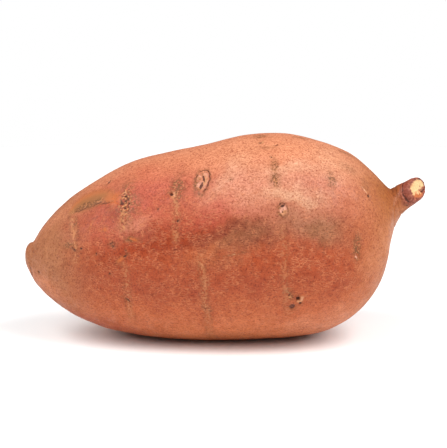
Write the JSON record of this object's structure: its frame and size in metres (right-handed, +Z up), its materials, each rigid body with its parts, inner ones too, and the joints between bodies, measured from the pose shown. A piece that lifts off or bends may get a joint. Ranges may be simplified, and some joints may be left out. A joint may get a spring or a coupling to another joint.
{
  "type": "sweet potato",
  "caption": "Plump sweet potato root lying on its side: blunt nose, rounded shoulder, short slant-cut stalk and a small flat resting spot.",
  "frame": {"origin": "centre of the bounding box in X and Y, at the height of the surface that the root lies on", "axes": "+X from the blunt nose towards the stalk, +Z up from the surface, +Y to the back of the root as it lies"},
  "size_m": [0.16, 0.0778, 0.082],
  "materials": {
    "skin": "smooth copper-pink root skin with a soft sheen, fine pale netting, brown scars and a pale fibrous cut at the stalk"
  },
  "bodies": {
    "root": {"sweet_potato": "skin"}
  },
  "joints": []
}
